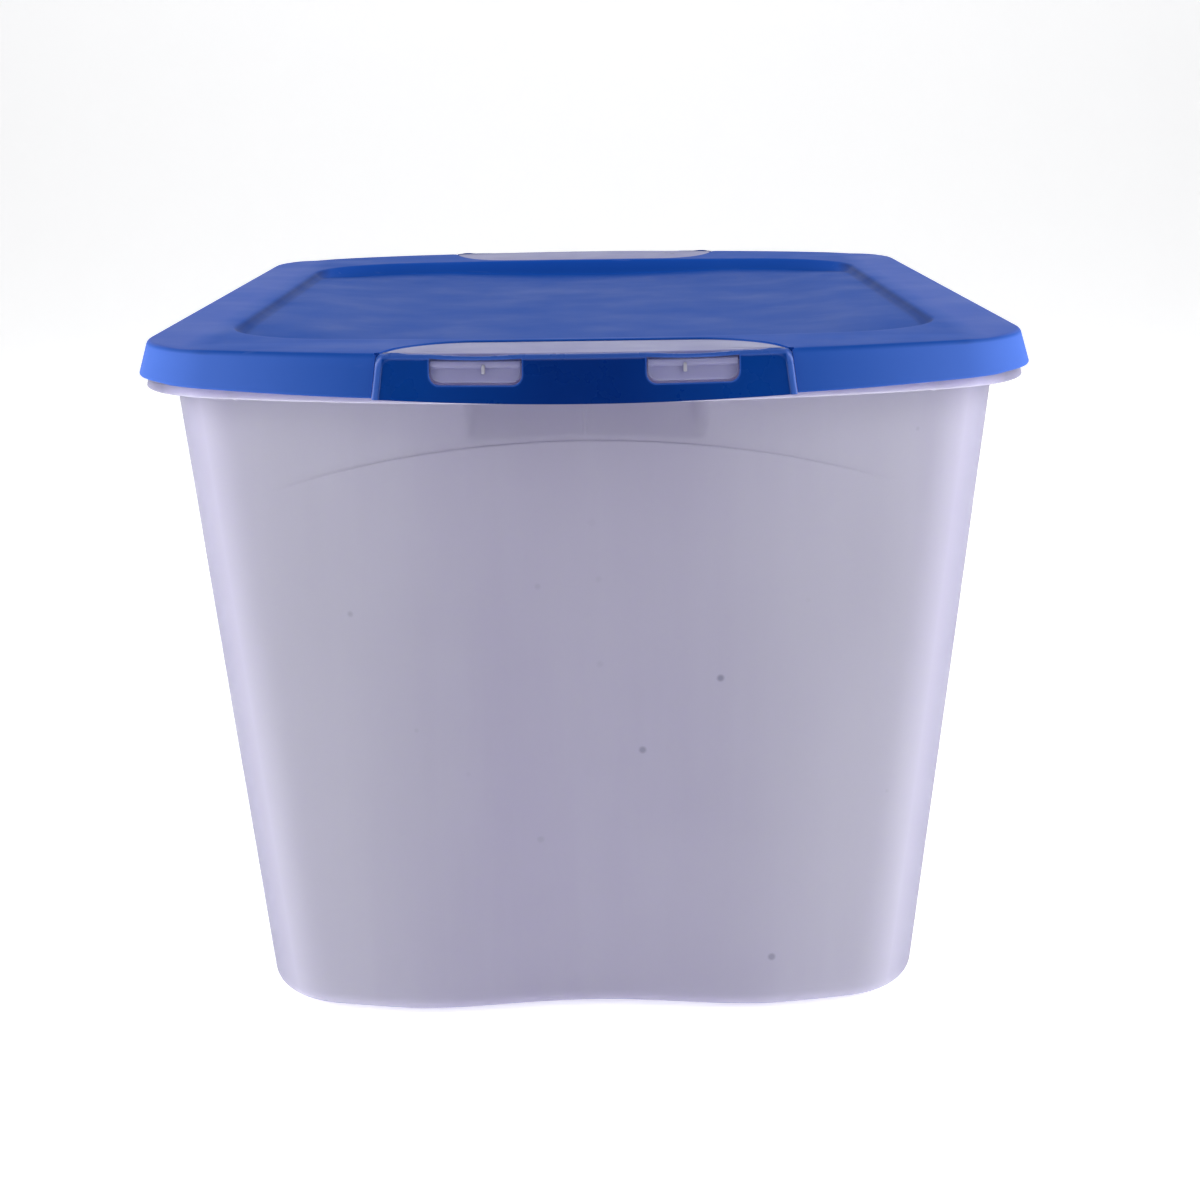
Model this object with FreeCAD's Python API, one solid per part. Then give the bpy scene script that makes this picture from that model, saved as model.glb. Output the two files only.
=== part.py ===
import FreeCAD, Part
import math
import os

V = FreeCAD.Vector

# Storage tote with a lift-off lid and a flap latch at each end.
# Millimetres. Z is up, X runs across the tote, Y along it.
# The origin is the middle of the underside, on the floor.

# Lid
LID_TOP = 338.0          # height of the flat band round the lid
LID_HALF_X = 213.5       # half width at the top edge of the lid
LID_HALF_Y = 292.0       # half length at the top edge, in the middle of an end
END_RADIUS = 499.0       # plan radius of the bowed end edge
CORNER_RADIUS = 62.0     # plan radius of the lid corners
SKIRT_LOW = 316.5        # level at which the splay of the skirt is measured
SKIRT_END = 318.4        # lower edge of the skirt beside a latch
SKIRT_SIDE = 321.3       # lower edge of the skirt along the sides
SKIRT_FLARE = 6.5        # how far the skirt splays out between top and bottom
SHEET = 2.0              # lid wall thickness
PANEL_DROP = 8.5         # depth of the sunken panel
PANEL_X = 177.0          # half width of the sunken panel at its rim
PANEL_Y = 227.0          # half length of the sunken panel at its rim
PANEL_SLOPE = 9.0        # plan width of the slope down to the panel floor
PANEL_RADIUS = 66.0      # corner radius of the sunken panel

# Opening in the lid over each end shelf of the tub
SHELF_HALF = 90.0        # half width of the shelf
SHELF_IN = 233.0         # distance of its inner edge from the centre
SHELF_BASE = 293.0       # distance of the straight side of its outline
SHELF_LOW = 336.6        # top of the shelf at its inner edge
SHELF_HIGH = 338.2       # top of the shelf at its outer edge
SHELF_GAP = 0.8          # gap between shelf and lid

# Latches
LATCH_HALF = 94.0        # half width of the latch at its top edge
LATCH_SPREAD = 2.6       # how much further out its sides are at its lower edge
NOTCH_GAP = 0.4          # gap between each side of the latch and the lid
NOTCH_IN = 277.6         # inner edge of the notch, distance from the centre
LATCH_PROUD = 1.8        # how far the border of the latch stands out from the skirt
FIELD_PROUD = 1.1        # how far the field inside that border stands out
FIELD_HALF = 90.8        # half width of the field at the top edge of the latch
FIELD_TOP = 335.7        # top of the field
LATCH_SHEET = 2.4        # latch wall thickness at the border
LATCH_LOW = 316.3        # lower edge of the latch
LATCH_TOP = 338.0        # top edge of the latch between its shoulders
SHOULDER = 1.4           # how far the shoulders of the latch rise above that
SHOULDER_IN = 83.0       # where a shoulder starts, distance from the middle
HINGE_Y = 281.6          # hinge axis, distance from the centre
HINGE_Z = 334.8          # hinge axis, height
PIN_RADIUS = 0.9         # hinge pin
PIN_HOLE = 1.0           # hole for the pin
PIN_REACH = 2.0          # how far a pin stands out from the side of the latch
EAR = 2.6                # width of the ear on the latch that carries a pin
EAR_REACH = 1.2          # how far the ear reaches past the hinge axis
BOSS = 4.0               # width of the boss in the lid that holds a pin
BOSS_REACH = 1.7         # how far the boss reaches past the hinge axis
WINDOW_MID = 49.0        # distance of a window centre from the middle
WINDOW_HALF = 21.0       # half width of a window
WINDOW_LOW = 324.6       # sill height
WINDOW_HIGH = 336.4      # top of the window
WINDOW_ROUND = 4.5       # rounding of its lower corners

# Tub
WALL = 2.0               # tub wall thickness
RIM_TOP = 335.5          # top of the rim, under the lid band
RIM_INSET = 4.2          # how far the rim stays inside the lid edge
LIP_LOW = 315.5          # lower edge of the turned-down lip
LIP_FLARE = 6.0          # splay of the lip between top and bottom
WALL_TOP_X = 200.5       # half width of the tub under the rim
WALL_TOP_Y = 279.0       # half length of the tub under the rim
WALL_TOP_END = 485.5     # plan radius of the tub end under the rim
WALL_TOP_CORNER = 49.0   # plan corner radius under the rim
BASE_X = 166.5           # half width at the floor
BASE_Y = 267.0           # half length at the floor
BASE_END = 620.0         # plan radius of the end at the floor
BASE_CORNER = 44.0       # plan corner radius at the floor
BASE_FILLET = 9.0       # rounding between walls and floor
ARC_TOP = 296.0          # top of the arched ledge on each end wall
ARC_RADIUS = 436.0       # radius of that arch
HOLLOW_LOW = 14.0        # depth of the end-wall hollow at the floor
HOLLOW_HIGH = 1.2        # depth of the hollow just under the arch
POCKET_HALF = 58.0       # half width of the hand-hold at its mouth
POCKET_DRAFT = 8.0       # how far each side of it leans in towards its back
POCKET_DEPTH = 4.5       # depth of the hand-hold
POCKET_RISE = 1.0        # height of its floor above the arched ledge
RIB_PROUD = 0.5          # height of the thin rib up the middle of its back
LUG_HALF = 20.4          # half width of a lug
LUG_LOW = 325.6          # underside of a lug
LUG_HIGH = 334.8         # top of a lug
LUG_ROUND = 4.4          # rounding of its lower corners


def outline(hx, hy, end, corner, z):
    """Closed plan outline: straight sides, bowed ends, round corners."""
    centre = hy - end
    cx = hx - corner
    cy = centre + math.sqrt((end - corner) ** 2 - cx ** 2)
    ang = math.atan2(cy - centre, cx)
    half = ang / 2.0
    side = V(hx, cy, z)
    knuckle = V(cx + corner * math.cos(half), cy + corner * math.sin(half), z)
    join = V(end * math.cos(ang), centre + end * math.sin(ang), z)
    top = V(0, hy, z)

    def flip(p, sx, sy):
        return V(p.x * sx, p.y * sy, p.z)

    edges = []
    edges.append(Part.LineSegment(flip(side, 1, -1), side).toShape())
    edges.append(Part.Arc(side, knuckle, join).toShape())
    edges.append(Part.Arc(join, top, flip(join, -1, 1)).toShape())
    edges.append(Part.Arc(flip(join, -1, 1), flip(knuckle, -1, 1), flip(side, -1, 1)).toShape())
    edges.append(Part.LineSegment(flip(side, -1, 1), flip(side, -1, -1)).toShape())
    edges.append(Part.Arc(flip(side, -1, -1), flip(knuckle, -1, -1), flip(join, -1, -1)).toShape())
    edges.append(Part.Arc(flip(join, -1, -1), flip(top, 1, -1), flip(join, 1, -1)).toShape())
    edges.append(Part.Arc(flip(join, 1, -1), flip(knuckle, 1, -1), flip(side, 1, -1)).toShape())
    return Part.Wire(edges)


def body(low, high):
    """Solid between two plan outlines, each given as (hx, hy, end, corner, z)."""
    return Part.makeLoft([outline(*low), outline(*high)], True, True)


def lid_line(inset, z):
    """Outline of the lid side at a height, moved in by inset."""
    grow = SKIRT_FLARE * (LID_TOP - z) / (LID_TOP - SKIRT_LOW) - inset
    return (LID_HALF_X + grow, LID_HALF_Y + grow, END_RADIUS + grow, CORNER_RADIUS + grow, z)


def rim_line(inset, z):
    """Outline of the tub lip at a height, moved in by inset."""
    grow = LIP_FLARE * (RIM_TOP - z) / (RIM_TOP - LIP_LOW) - RIM_INSET - inset
    return (LID_HALF_X + grow, LID_HALF_Y + grow, END_RADIUS + grow, CORNER_RADIUS + grow, z)


def wall_line(inset, z):
    """Outline of the tub wall at a height, moved in by inset."""
    t = z / LIP_LOW
    hx = BASE_X + (WALL_TOP_X - BASE_X) * t - inset
    hy = BASE_Y + (WALL_TOP_Y - BASE_Y) * t - inset
    end = BASE_END + (WALL_TOP_END - BASE_END) * t - inset
    corner = BASE_CORNER + (WALL_TOP_CORNER - BASE_CORNER) * t - inset
    return (hx, hy, end, corner, z)


def box(x0, x1, y0, y1, z0, z1):
    return Part.makeBox(x1 - x0, y1 - y0, z1 - z0, V(x0, y0, z0))


def edges_at(shape, z):
    """Edges lying wholly at one height."""
    found = []
    for edge in shape.Edges:
        b = edge.BoundBox
        if abs(b.ZMin - z) < 1e-4 and abs(b.ZMax - z) < 1e-4:
            found.append(edge)
    return found


def other_end(shape):
    """The same shape turned half round to the far end."""
    copy = shape.copy()
    copy.rotate(V(0, 0, 0), V(0, 0, 1), 180)
    return copy


def both_ends(shape):
    return [shape, other_end(shape)]


def shelf_prism(grow, z0, z1):
    """Prism over the crescent shelf at the front end, grown sideways by grow."""
    out = SHELF_BASE
    half = SHELF_HALF + grow
    inner = SHELF_IN - grow
    rx = 40.0 + grow
    ry = out - inner
    flat = half - rx
    left = V(-half, -out, z0)
    right = V(half, -out, z0)
    a = V(-flat, -inner, z0)
    b = V(flat, -inner, z0)
    s = math.sqrt(0.5)
    bend_left = V(-flat - rx * s, -out + ry * s, z0)
    bend_right = V(flat + rx * s, -out + ry * s, z0)
    edges = []
    edges.append(Part.LineSegment(left, right).toShape())
    edges.append(quarter(V(flat, -out, z0), rx, ry, right, bend_right, b))
    edges.append(Part.LineSegment(b, a).toShape())
    edges.append(quarter(V(-flat, -out, z0), rx, ry, a, bend_left, left))
    face = Part.Face(Part.Wire(edges))
    return face.extrude(V(0, 0, z1 - z0))


def quarter(centre, rx, ry, start, middle, end):
    """Smooth quarter-ellipse corner drawn as a curve through seven points."""
    first = math.atan2((start.y - centre.y) / ry, (start.x - centre.x) / rx)
    last = math.atan2((end.y - centre.y) / ry, (end.x - centre.x) / rx)
    points = []
    for i in range(7):
        ang = first + (last - first) * i / 6.0
        points.append(V(centre.x + rx * math.cos(ang), centre.y + ry * math.sin(ang), centre.z))
    points[0] = start
    points[-1] = end
    curve = Part.BSplineCurve()
    curve.interpolate(points)
    return curve.toShape()


def hollow_tool(inset):
    """Cutter for the shallow hollow in the front end wall, below the arch."""
    def section(z, half, depth):
        hy = wall_line(0, z)[1]
        end = wall_line(0, z)[2]
        edge = hy - end + math.sqrt(end ** 2 - half ** 2)
        a = V(-half, -edge + inset, z)
        b = V(0, -hy + depth + inset, z)
        c = V(half, -edge + inset, z)
        far_c = V(half, -400, z)
        far_a = V(-half, -400, z)
        return Part.Wire([
            Part.Arc(a, b, c).toShape(),
            Part.LineSegment(c, far_c).toShape(),
            Part.LineSegment(far_c, far_a).toShape(),
            Part.LineSegment(far_a, a).toShape(),
        ])
    loft = Part.makeLoft([section(-5.0, 88.0, HOLLOW_LOW), section(300.0, 146.0, HOLLOW_HIGH)], True, True)
    arch = Part.makeCylinder(ARC_RADIUS - inset, 300, V(0, -450, ARC_TOP - ARC_RADIUS), V(0, 1, 0))
    return loft.common(arch)


def wall_point(x, inset):
    """Point on the front end wall at the level of the arch, moved in by inset."""
    hy, end = wall_line(0, ARC_TOP)[1:3]
    return V(x, end - hy - math.sqrt(end ** 2 - x ** 2) + inset, ARC_TOP - 20.0)


def pocket_tool(grow):
    """Cutter for the hand-hold in the front end wall: bowed back, leaning sides, arched floor."""
    mouth = POCKET_HALF + grow
    foot = mouth - POCKET_DRAFT
    back = POCKET_DEPTH + grow
    left = wall_point(-mouth, -2.0)
    right = wall_point(mouth, -2.0)
    far_left = V(-mouth, -400, left.z)
    far_right = V(mouth, -400, right.z)
    edges = []
    edges.append(Part.LineSegment(far_left, far_right).toShape())
    edges.append(Part.LineSegment(far_right, right).toShape())
    edges.append(Part.LineSegment(right, wall_point(foot, back)).toShape())
    edges.append(Part.Arc(wall_point(foot, back), wall_point(0, back), wall_point(-foot, back)).toShape())
    edges.append(Part.LineSegment(wall_point(-foot, back), left).toShape())
    edges.append(Part.LineSegment(left, far_left).toShape())
    block = Part.Face(Part.Wire(edges)).extrude(V(0, 0, RIM_TOP - WALL - left.z))
    floor = ARC_RADIUS + POCKET_RISE - grow
    below = Part.makeCylinder(floor, 300, V(0, -450, ARC_TOP - ARC_RADIUS), V(0, 1, 0))
    return block.cut(below)


def shelf_plate():
    """Crescent shelf of the front end, rising slightly towards its outer edge."""
    plate = shelf_prism(0, RIM_TOP - WALL, SHELF_HIGH + 5)
    plate = plate.common(body(rim_line(0, LIP_LOW), rim_line(0, SHELF_HIGH + 2)))
    rise = (SHELF_HIGH - SHELF_LOW) / (LID_HALF_Y - RIM_INSET - SHELF_IN)
    over = box(-150, 150, -120, 120, 0, 40)
    over.rotate(V(0, 0, 0), V(1, 0, 0), -math.degrees(math.atan(rise)))
    over.translate(V(0, -SHELF_IN, SHELF_LOW))
    return plate.cut(over)


def tub_block():
    """Outside of the tub: walls, rim, lip and raised shelves, still solid."""
    block = body(wall_line(0, 0), wall_line(0, LIP_LOW + 17.0))
    block = block.makeFillet(BASE_FILLET, edges_at(block, 0))
    for tool in both_ends(hollow_tool(0)):
        block = block.cut(tool)
    rim = body(rim_line(0, LIP_LOW), rim_line(0, RIM_TOP))
    under = body(rim_line(WALL, LIP_LOW), rim_line(WALL, RIM_TOP - WALL))
    rim = rim.cut(under)
    block = block.fuse(rim)
    return block.fuse(both_ends(shelf_plate()))


def tub_cavity():
    """Room inside the tub, open upwards."""
    room = body(wall_line(WALL, WALL), wall_line(WALL, SHELF_HIGH + 5))
    room = room.makeFillet(BASE_FILLET - WALL, edges_at(room, WALL))
    tools = both_ends(hollow_tool(WALL))
    tools += both_ends(pocket_tool(WALL))
    tools += both_ends(shelf_prism(0, RIM_TOP - WALL, SHELF_HIGH + 6))
    return room.cut(tools)


def pocket_rib():
    """Thin upright rib in the middle of the hand-hold."""
    back = wall_point(0, POCKET_DEPTH).y
    low = ARC_TOP + POCKET_RISE - 0.5
    return box(-1.0, 1.0, back - RIB_PROUD, back + 0.5, low, RIM_TOP - WALL + 0.5)


def round_bottom(shape, radius):
    """Round the two lower edges of a box that run along Y."""
    low = shape.BoundBox.ZMin
    found = []
    for edge in shape.Edges:
        b = edge.BoundBox
        if b.YLength > 10 and b.ZMax < low + 1:
            found.append(edge)
    return shape.makeFillet(radius, found)


def lugs():
    """Two lugs on the lip, level with the skirt, that stand in the windows of the latch."""
    made = []
    for mid in (-WINDOW_MID, WINDOW_MID):
        lug = box(mid - LUG_HALF, mid + LUG_HALF, -320, -270, LUG_LOW, LUG_HIGH)
        lug = round_bottom(lug, LUG_ROUND)
        lug = lug.common(body(lid_line(0, LUG_LOW - 3), lid_line(0, LUG_HIGH + 3)))
        lug = lug.cut(body(rim_line(1.0, LIP_LOW), rim_line(1.0, RIM_TOP)))
        made.append(lug)
    return made


def make_tub():
    tub = tub_block().cut(tub_cavity())
    tub = tub.cut(both_ends(pocket_tool(0)))
    extra = both_ends(pocket_rib())
    for lug in lugs():
        extra += both_ends(lug)
    return tub.fuse(extra).removeSplitter()


def panel_line(grow, drop):
    """Outline of the sunken panel, grown by grow, at a depth below the band."""
    return (PANEL_X + grow, PANEL_Y + grow, 900.0 + grow, PANEL_RADIUS + grow, LID_TOP - drop)


def lid_shell():
    """Flat band and flared skirt."""
    outer = body(lid_line(0, SKIRT_LOW), lid_line(0, LID_TOP))
    outer = outer.makeFillet(1.6, edges_at(outer, LID_TOP))
    inner = body(lid_line(SHEET + 0.1, SKIRT_LOW), lid_line(SHEET + 0.1, LID_TOP - SHEET))
    return outer.cut(inner)


def skirt_trim():
    """Cutter below the edge of the skirt, which dips towards the latches."""
    x = [-240, -200, -100, 100, 200, 240]
    z = [SKIRT_SIDE, SKIRT_SIDE, SKIRT_END, SKIRT_END, SKIRT_SIDE, SKIRT_SIDE]
    points = [V(a, -320, b) for a, b in zip(x, z)]
    points += [V(240, -320, 300), V(-240, -320, 300), points[0]]
    return Part.Face(Part.makePolygon(points)).extrude(V(0, 640, 0))


def side_reach(z):
    """Half width of the latch at a height: its sides lean out downwards."""
    return LATCH_HALF + LATCH_SPREAD * (LATCH_TOP - z) / (LATCH_TOP - LATCH_LOW)


def leaning_prism(grow, inner, low, high):
    """Prism in front of y = -inner with the leaning sides of the latch, moved out by grow."""
    below = side_reach(low) + grow
    above = side_reach(high) + grow
    points = [V(-below, -320, low), V(below, -320, low), V(above, -320, high), V(-above, -320, high)]
    points.append(points[0])
    return Part.Face(Part.makePolygon(points)).extrude(V(0, 320 - inner, 0))


def latch_notch():
    """Gap in the end of the lid that the latch fills, with the opening over the shelf."""
    gap = leaning_prism(NOTCH_GAP, NOTCH_IN, SKIRT_LOW - 5, LID_TOP + 5)
    return gap.fuse(shelf_prism(SHELF_GAP, LID_TOP - 14, LID_TOP + 5))


def pin_bosses():
    """Boss behind the skirt at each side of the notch, for the pins of the latch."""
    within = body(lid_line(1.0, SKIRT_LOW), lid_line(1.0, LID_TOP))
    made = []
    for side in (-1, 1):
        x0 = min(side * LATCH_HALF, side * (LATCH_HALF + BOSS))
        boss = box(x0, x0 + BOSS, -300, BOSS_REACH - HINGE_Y, HINGE_Z - 2.2, LID_TOP - 1)
        made.append(boss.common(within))
    return made


def pin_holes():
    """Line of the hinge, long enough to take the pins in both bosses."""
    length = 2 * (side_reach(HINGE_Z) + NOTCH_GAP + PIN_REACH)
    return Part.makeCylinder(PIN_HOLE, length, V(-length / 2, -HINGE_Y, HINGE_Z), V(1, 0, 0))


def make_lid():
    lid = lid_shell()
    lid = lid.cut(skirt_trim())
    bowl = body(panel_line(SHEET - PANEL_SLOPE, PANEL_DROP + SHEET), panel_line(SHEET, SHEET))
    sunk = body(panel_line(-PANEL_SLOPE, PANEL_DROP), panel_line(0, 0))
    lid = lid.fuse(bowl).cut(sunk)
    bosses = []
    for boss in pin_bosses():
        bosses += both_ends(boss)
    lid = lid.fuse(bosses)
    lid = lid.cut(both_ends(latch_notch()))
    return lid.cut(both_ends(pin_holes())).removeSplitter()


def latch_windows():
    made = []
    for mid in (-WINDOW_MID, WINDOW_MID):
        hole = box(mid - WINDOW_HALF, mid + WINDOW_HALF, -320, -270, WINDOW_LOW, WINDOW_HIGH)
        made.append(round_bottom(hole, WINDOW_ROUND))
    return made


def shoulder_dip():
    """Cutter above the top edge of the latch, between its two shoulders."""
    ramp = SHOULDER_IN - 6.0
    points = [V(-SHOULDER_IN - 3, -330, LATCH_TOP + SHOULDER + 1), V(-ramp, -330, LATCH_TOP)]
    points += [V(ramp, -330, LATCH_TOP), V(SHOULDER_IN + 3, -330, LATCH_TOP + SHOULDER + 1)]
    points.append(points[0])
    return Part.Face(Part.makePolygon(points)).extrude(V(0, 100, 0))


def latch_field():
    """Cutter for the field of the latch, set back inside its border."""
    room = leaning_prism(FIELD_HALF - LATCH_HALF, 250, LATCH_LOW - 2, FIELD_TOP)
    upper = []
    for edge in room.Edges:
        b = edge.BoundBox
        if b.YLength > 10 and b.ZMin > FIELD_TOP - 1:
            upper.append(edge)
    room = room.makeFillet(4.0, upper)
    return room.cut(body(lid_line(-FIELD_PROUD, LATCH_LOW - 3), lid_line(-FIELD_PROUD, LID_TOP)))


def latch_ears():
    """Ear at each side of the latch with a pin standing out from it."""
    outer = side_reach(HINGE_Z + 1.3)
    made = []
    for side in (-1, 1):
        x0 = min(side * outer, side * (outer - EAR))
        made.append(box(x0, x0 + EAR, -HINGE_Y - 3.0, EAR_REACH - HINGE_Y,
                        HINGE_Z - 1.3, HINGE_Z + 1.3))
        start = V(side * (outer - 1), -HINGE_Y, HINGE_Z)
        made.append(Part.makeCylinder(PIN_RADIUS, PIN_REACH + 1, start, V(side, 0, 0)))
    return made


def make_latch():
    """Front latch: bowed panel with a raised border, two windows and a pin at each side."""
    out = -LATCH_PROUD
    back = LATCH_SHEET - LATCH_PROUD
    peak = LATCH_TOP + SHOULDER
    panel = body(lid_line(out, LATCH_LOW), lid_line(out, peak))
    panel = panel.cut(body(lid_line(back, LATCH_LOW - 1), lid_line(back, peak + 1)))
    panel = panel.common(leaning_prism(0, 250, LATCH_LOW, peak))
    panel = panel.cut([shoulder_dip(), latch_field()] + latch_windows())
    return panel.fuse(latch_ears()).removeSplitter()


def main():
    os.makedirs("parts", exist_ok=True)
    latch = make_latch()
    pieces = {
        "tub": make_tub(),
        "lid": make_lid(),
        "latch_front": latch,
        "latch_rear": other_end(latch),
    }
    for name, shape in pieces.items():
        solid = shape.Solids[0]
        print(name, len(shape.Solids), shape.isValid(), round(solid.Volume / 1000.0, 1))
        print(name, shape.optimalBoundingBox(False, False))
        solid.exportStep("parts/" + name + ".step")


main()
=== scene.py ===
import bpy
import bmesh
import math
from mathutils import Matrix, Vector, noise


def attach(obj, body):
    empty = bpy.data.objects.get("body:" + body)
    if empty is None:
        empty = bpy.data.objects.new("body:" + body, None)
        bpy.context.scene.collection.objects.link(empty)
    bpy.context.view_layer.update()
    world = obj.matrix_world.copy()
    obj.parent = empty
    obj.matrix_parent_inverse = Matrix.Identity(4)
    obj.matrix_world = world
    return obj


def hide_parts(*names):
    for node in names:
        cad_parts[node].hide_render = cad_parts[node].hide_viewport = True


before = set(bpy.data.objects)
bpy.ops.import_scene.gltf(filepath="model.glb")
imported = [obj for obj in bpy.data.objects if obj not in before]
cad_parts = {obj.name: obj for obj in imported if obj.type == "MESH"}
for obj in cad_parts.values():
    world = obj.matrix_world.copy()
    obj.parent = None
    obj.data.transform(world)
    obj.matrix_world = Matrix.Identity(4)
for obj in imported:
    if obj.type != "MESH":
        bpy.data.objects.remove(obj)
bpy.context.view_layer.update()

MM = 0.001

# Driving dimensions in millimetres. Most are those of the CAD model. The sunken panel is shallower
# along its sides here, and the shelf tips, hand-hold and ledge are shaped a little more finely.
# Outlines in plan have straight sides, bowed ends and round corners.
LID_TOP = 338.0          # flat band round the lid
LID_LINE = (213.5, 292.0, 499.0, 62.0)   # half width, half length, end radius, corner radius
SKIRT_LOW = 316.5        # level at which the splay of the skirt is measured
SKIRT_FLARE = 6.5        # splay of the skirt
SKIRT_END = 318.4        # lower edge of the skirt beside a latch
SKIRT_SIDE = 321.3       # lower edge of the skirt along the sides
SKIRT_BEND = 95.0        # where that edge begins to rise, distance from the middle
SKIRT_RUN = 105.0        # distance over which it rises
LID_EDGE = 2.0           # rounding between the band and the skirt
SHEET = 2.0              # lid wall thickness
PANEL_LINE = (181.0, 227.0, 900.0, 66.0)  # rim of the sunken panel
PANEL_FOOT = (174.5, 220.5, 890.0, 61.0)  # foot of the slope down to its floor
PANEL_DROP = 8.5         # its depth
PANEL_DISH = 1.3         # how far its ends dip in the middle and rise at their corners
PANEL_SIDE = 0.62        # share of that depth lost along its sides
PANEL_MIDDLE = 95.0      # half width of the dished part of its ends
BAND_DIP = 0.8           # how far the band dips towards the middle of the lid
SAG = 0.35               # unevenness of the panel floor

SHELF_HALF = 92.5        # half width of the crescent shelf
SHELF_IN = 233.0         # its inner edge, distance from the centre
SHELF_BASE = 293.0       # straight side of its outline
SHELF_ROUND = 40.0       # how far in from each tip its curve starts
SHELF_LOW = 336.4        # top of the shelf at its inner edge
SHELF_HIGH = 338.2       # top of the shelf at its outer edge
SHELF_GAP = 0.8          # gap between shelf and lid
SHELF_TIP = 280.0        # where each tip of the shelf ends, distance from the centre

LATCH_HALF = 94.0        # half width of the latch at its top edge
LATCH_SPREAD = 2.6       # how much further out its sides are at its lower edge
NOTCH_GAP = 0.4          # gap between each side of the latch and the lid
NOTCH_IN = 280.0         # inner edge of the notch in the lid
LATCH_LOW = 316.3        # lower edge of the latch, in its middle
LATCH_RISE = 1.8         # how far that edge rises towards each side
LATCH_TOP = 338.0        # its top edge
LATCH_PROUD = 1.8        # how far its border stands out from the skirt
LATCH_BACK = 0.6         # how far its back lies inside the skirt line
FIELD_PROUD = 1.1        # how far the field inside the border stands out
FIELD_HALF = 90.8        # half width of that field at the top
FIELD_TOP = 335.7        # its top
FIELD_ROUND = 4.0        # its corner radius
HINGE_Y = 281.6          # hinge axis, distance from the centre
HINGE_Z = 334.8          # hinge axis, height
PIN_RADIUS = 0.9         # hinge pin
BOSS_WIDE = 3.2          # width of a boss in the lid that holds a pin
BOSS_DROP = 2.2          # how far it reaches below the hinge axis
EAR_WIDE = 2.4           # width of an ear that carries a pin
EAR_HALF = 1.3           # half its height
STRIP_SAG = 0.8          # sag of the strip over a window
STRIP_BUMP = 0.5         # bump of the top edge near each end
WINDOW_MID = 49.0        # middle of a window
WINDOW_HALF = 21.0       # its half width
WINDOW_LOW = 324.6       # its sill
WINDOW_HIGH = 336.4      # its top
WINDOW_ROUND = 4.5       # its lower corner radius

WALL = 2.0               # tub wall thickness
RIM_TOP = 335.5          # top of the rim
RIM_INSET = 4.2          # how far the rim stays inside the lid edge
LIP_LOW = 315.5          # lower edge of the lip
LIP_FLARE = 6.0          # splay of the lip
WALL_TOP_LINE = (200.5, 279.0, 485.5, 49.0)   # tub wall at the level of the lip edge
WALL_BASE_LINE = (166.5, 267.0, 620.0, 44.0)  # tub wall at the floor
BASE_FILLET = 9.0        # rounding between walls and floor
WALL_WAVE = 0.22         # long waves in the wall
WALL_RIPPLE = 0.06       # short waves in it
ARC_TOP = 296.0          # top of the arched ledge on the end wall
ARC_RADIUS = 436.0       # its radius
ARC_HALF = 150.0         # where the ledge has died away
HOLLOW_LOW = 14.0        # depth of the hollow at the floor
HOLLOW_FOOT = 95.0       # half width of the hollow at the floor
HOLLOW_HEAD = 146.0      # half width of the hollow at the height of the ledge
HOLLOW_FADE = 118.0      # where it begins to fade out just under the ledge
HOLLOW_TURN = 110.0      # how far below the ledge its round shape begins to follow the ledge
LEDGE = 0.45             # width of the ledge
LEDGE_FADE = 128.0       # where the ledge begins to fade out sideways
LEDGE_RISE = 30.0        # height over which the step above the ledge dies away
POCKET_HALF = 58.0       # half width of the hand-hold
POCKET_DRAFT = 8.0       # lean of its sides
POCKET_DEPTH = 4.2       # its depth under the lip
POCKET_RISE = 24.0       # height over which its back slopes in to that depth
POCKET_RIB = 0.3         # how far the thin rib down its middle stands out
LUG_HALF = 20.4          # half width of a lug
LUG_LOW = 325.6          # underside of a lug
LUG_HIGH = 334.8         # top of a lug
LUG_ROUND = 4.4          # its lower corner radius
RIB_HALF = 0.8           # half width of the small rib on a lug
RIB_LOW = 329.4          # its foot
RIB_HIGH = 333.6         # its top
RIB_IN = 3.6             # how much nearer the middle of the tote it is than the middle of its lug
GUSSET_X = 164.5         # small gusset under the lip, distance from the middle
GUSSET_HALF = 0.8        # its half thickness
GUSSET_LOW = 312.6       # its lowest point, on the wall
GUSSET_TIP = 316.2       # its lowest point on the lip
GUSSET_TOP = 333.0       # its top

# ---------------------------------------------------------------- camera


def make_camera():
    """Long-lens camera looking down on the front end, rolled very slightly."""
    place = Vector((2.0, -1174.9, 451.7)) * MM
    yaw, pitch, roll = -0.0042, 0.2527, -0.0132
    right = Vector((math.cos(yaw), math.sin(yaw), 0))
    ahead = Vector((-math.sin(yaw) * math.cos(pitch), math.cos(yaw) * math.cos(pitch), -math.sin(pitch)))
    up = right.cross(ahead)
    side = right * math.cos(roll) + up * math.sin(roll)
    top = up * math.cos(roll) - right * math.sin(roll)
    turn = Matrix((side, top, -ahead)).transposed()
    data = bpy.data.cameras.new("camera")
    data.sensor_width = 36.0
    data.lens = 59.08
    data.clip_end = 50
    cam = bpy.data.objects.new("camera", data)
    cam.matrix_world = Matrix.Translation(place) @ turn.to_4x4()
    bpy.context.scene.collection.objects.link(cam)
    bpy.context.scene.camera = cam


make_camera()

# ---------------------------------------------------------------- outlines and skins

SIDE, CORNER, END = "side", "corner", "end"
FLAT_X = 98.0            # stations nearer the middle than this keep the same x on every row


def ease(a, b, v):
    """0 before a, 1 after b, with an even blend between."""
    t = min(1.0, max(0.0, (v - a) / (b - a)))
    return t * t * (3 - 2 * t)


def mix(a, b, t):
    return a + (b - a) * t


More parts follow.
